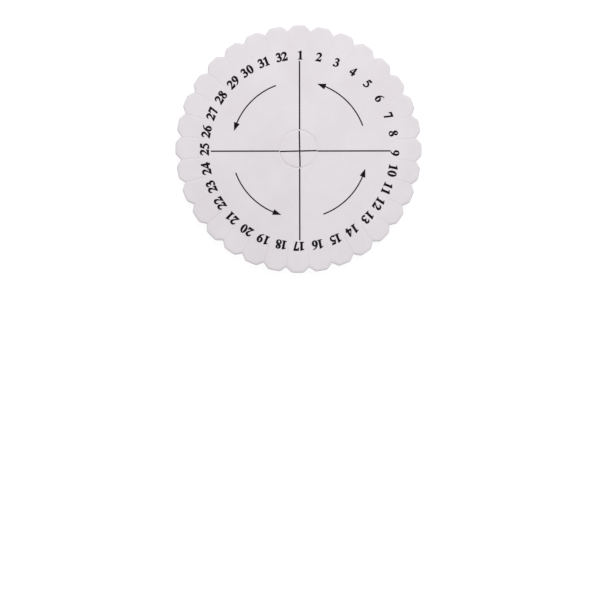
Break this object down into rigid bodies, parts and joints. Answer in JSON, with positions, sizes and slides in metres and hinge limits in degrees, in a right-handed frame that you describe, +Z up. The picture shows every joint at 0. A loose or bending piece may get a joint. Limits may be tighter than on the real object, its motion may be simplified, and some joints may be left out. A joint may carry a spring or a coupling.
{
  "type": "kumihimo disk",
  "caption": "Round foam braiding disk with a scalloped, slitted rim that grips the cords and a knock-out plug in its centre hole.",
  "frame": {"origin": "centre of the underside, which is the face that the disk rests on", "axes": "+Z up through the thickness towards the printed face, +Y towards the first lobe, +X to the right of it seen from above"},
  "size_m": [0.15, 0.15, 0.01],
  "materials": {
    "foam": "matt closed-cell EVA foam, off-white",
    "ink": "thin black screen-printed ink"
  },
  "bodies": {
    "root": {"foam_disk": "foam", "centre_plug": "foam", "printed_line_north": "ink", "printed_line_east": "ink", "printed_line_south": "ink", "printed_line_west": "ink", "printed_plug_cross": "ink", "printed_arrow_north_east": "ink", "printed_arrow_south_east": "ink", "printed_arrow_south_west": "ink", "printed_arrow_north_west": "ink"}
  },
  "joints": []
}
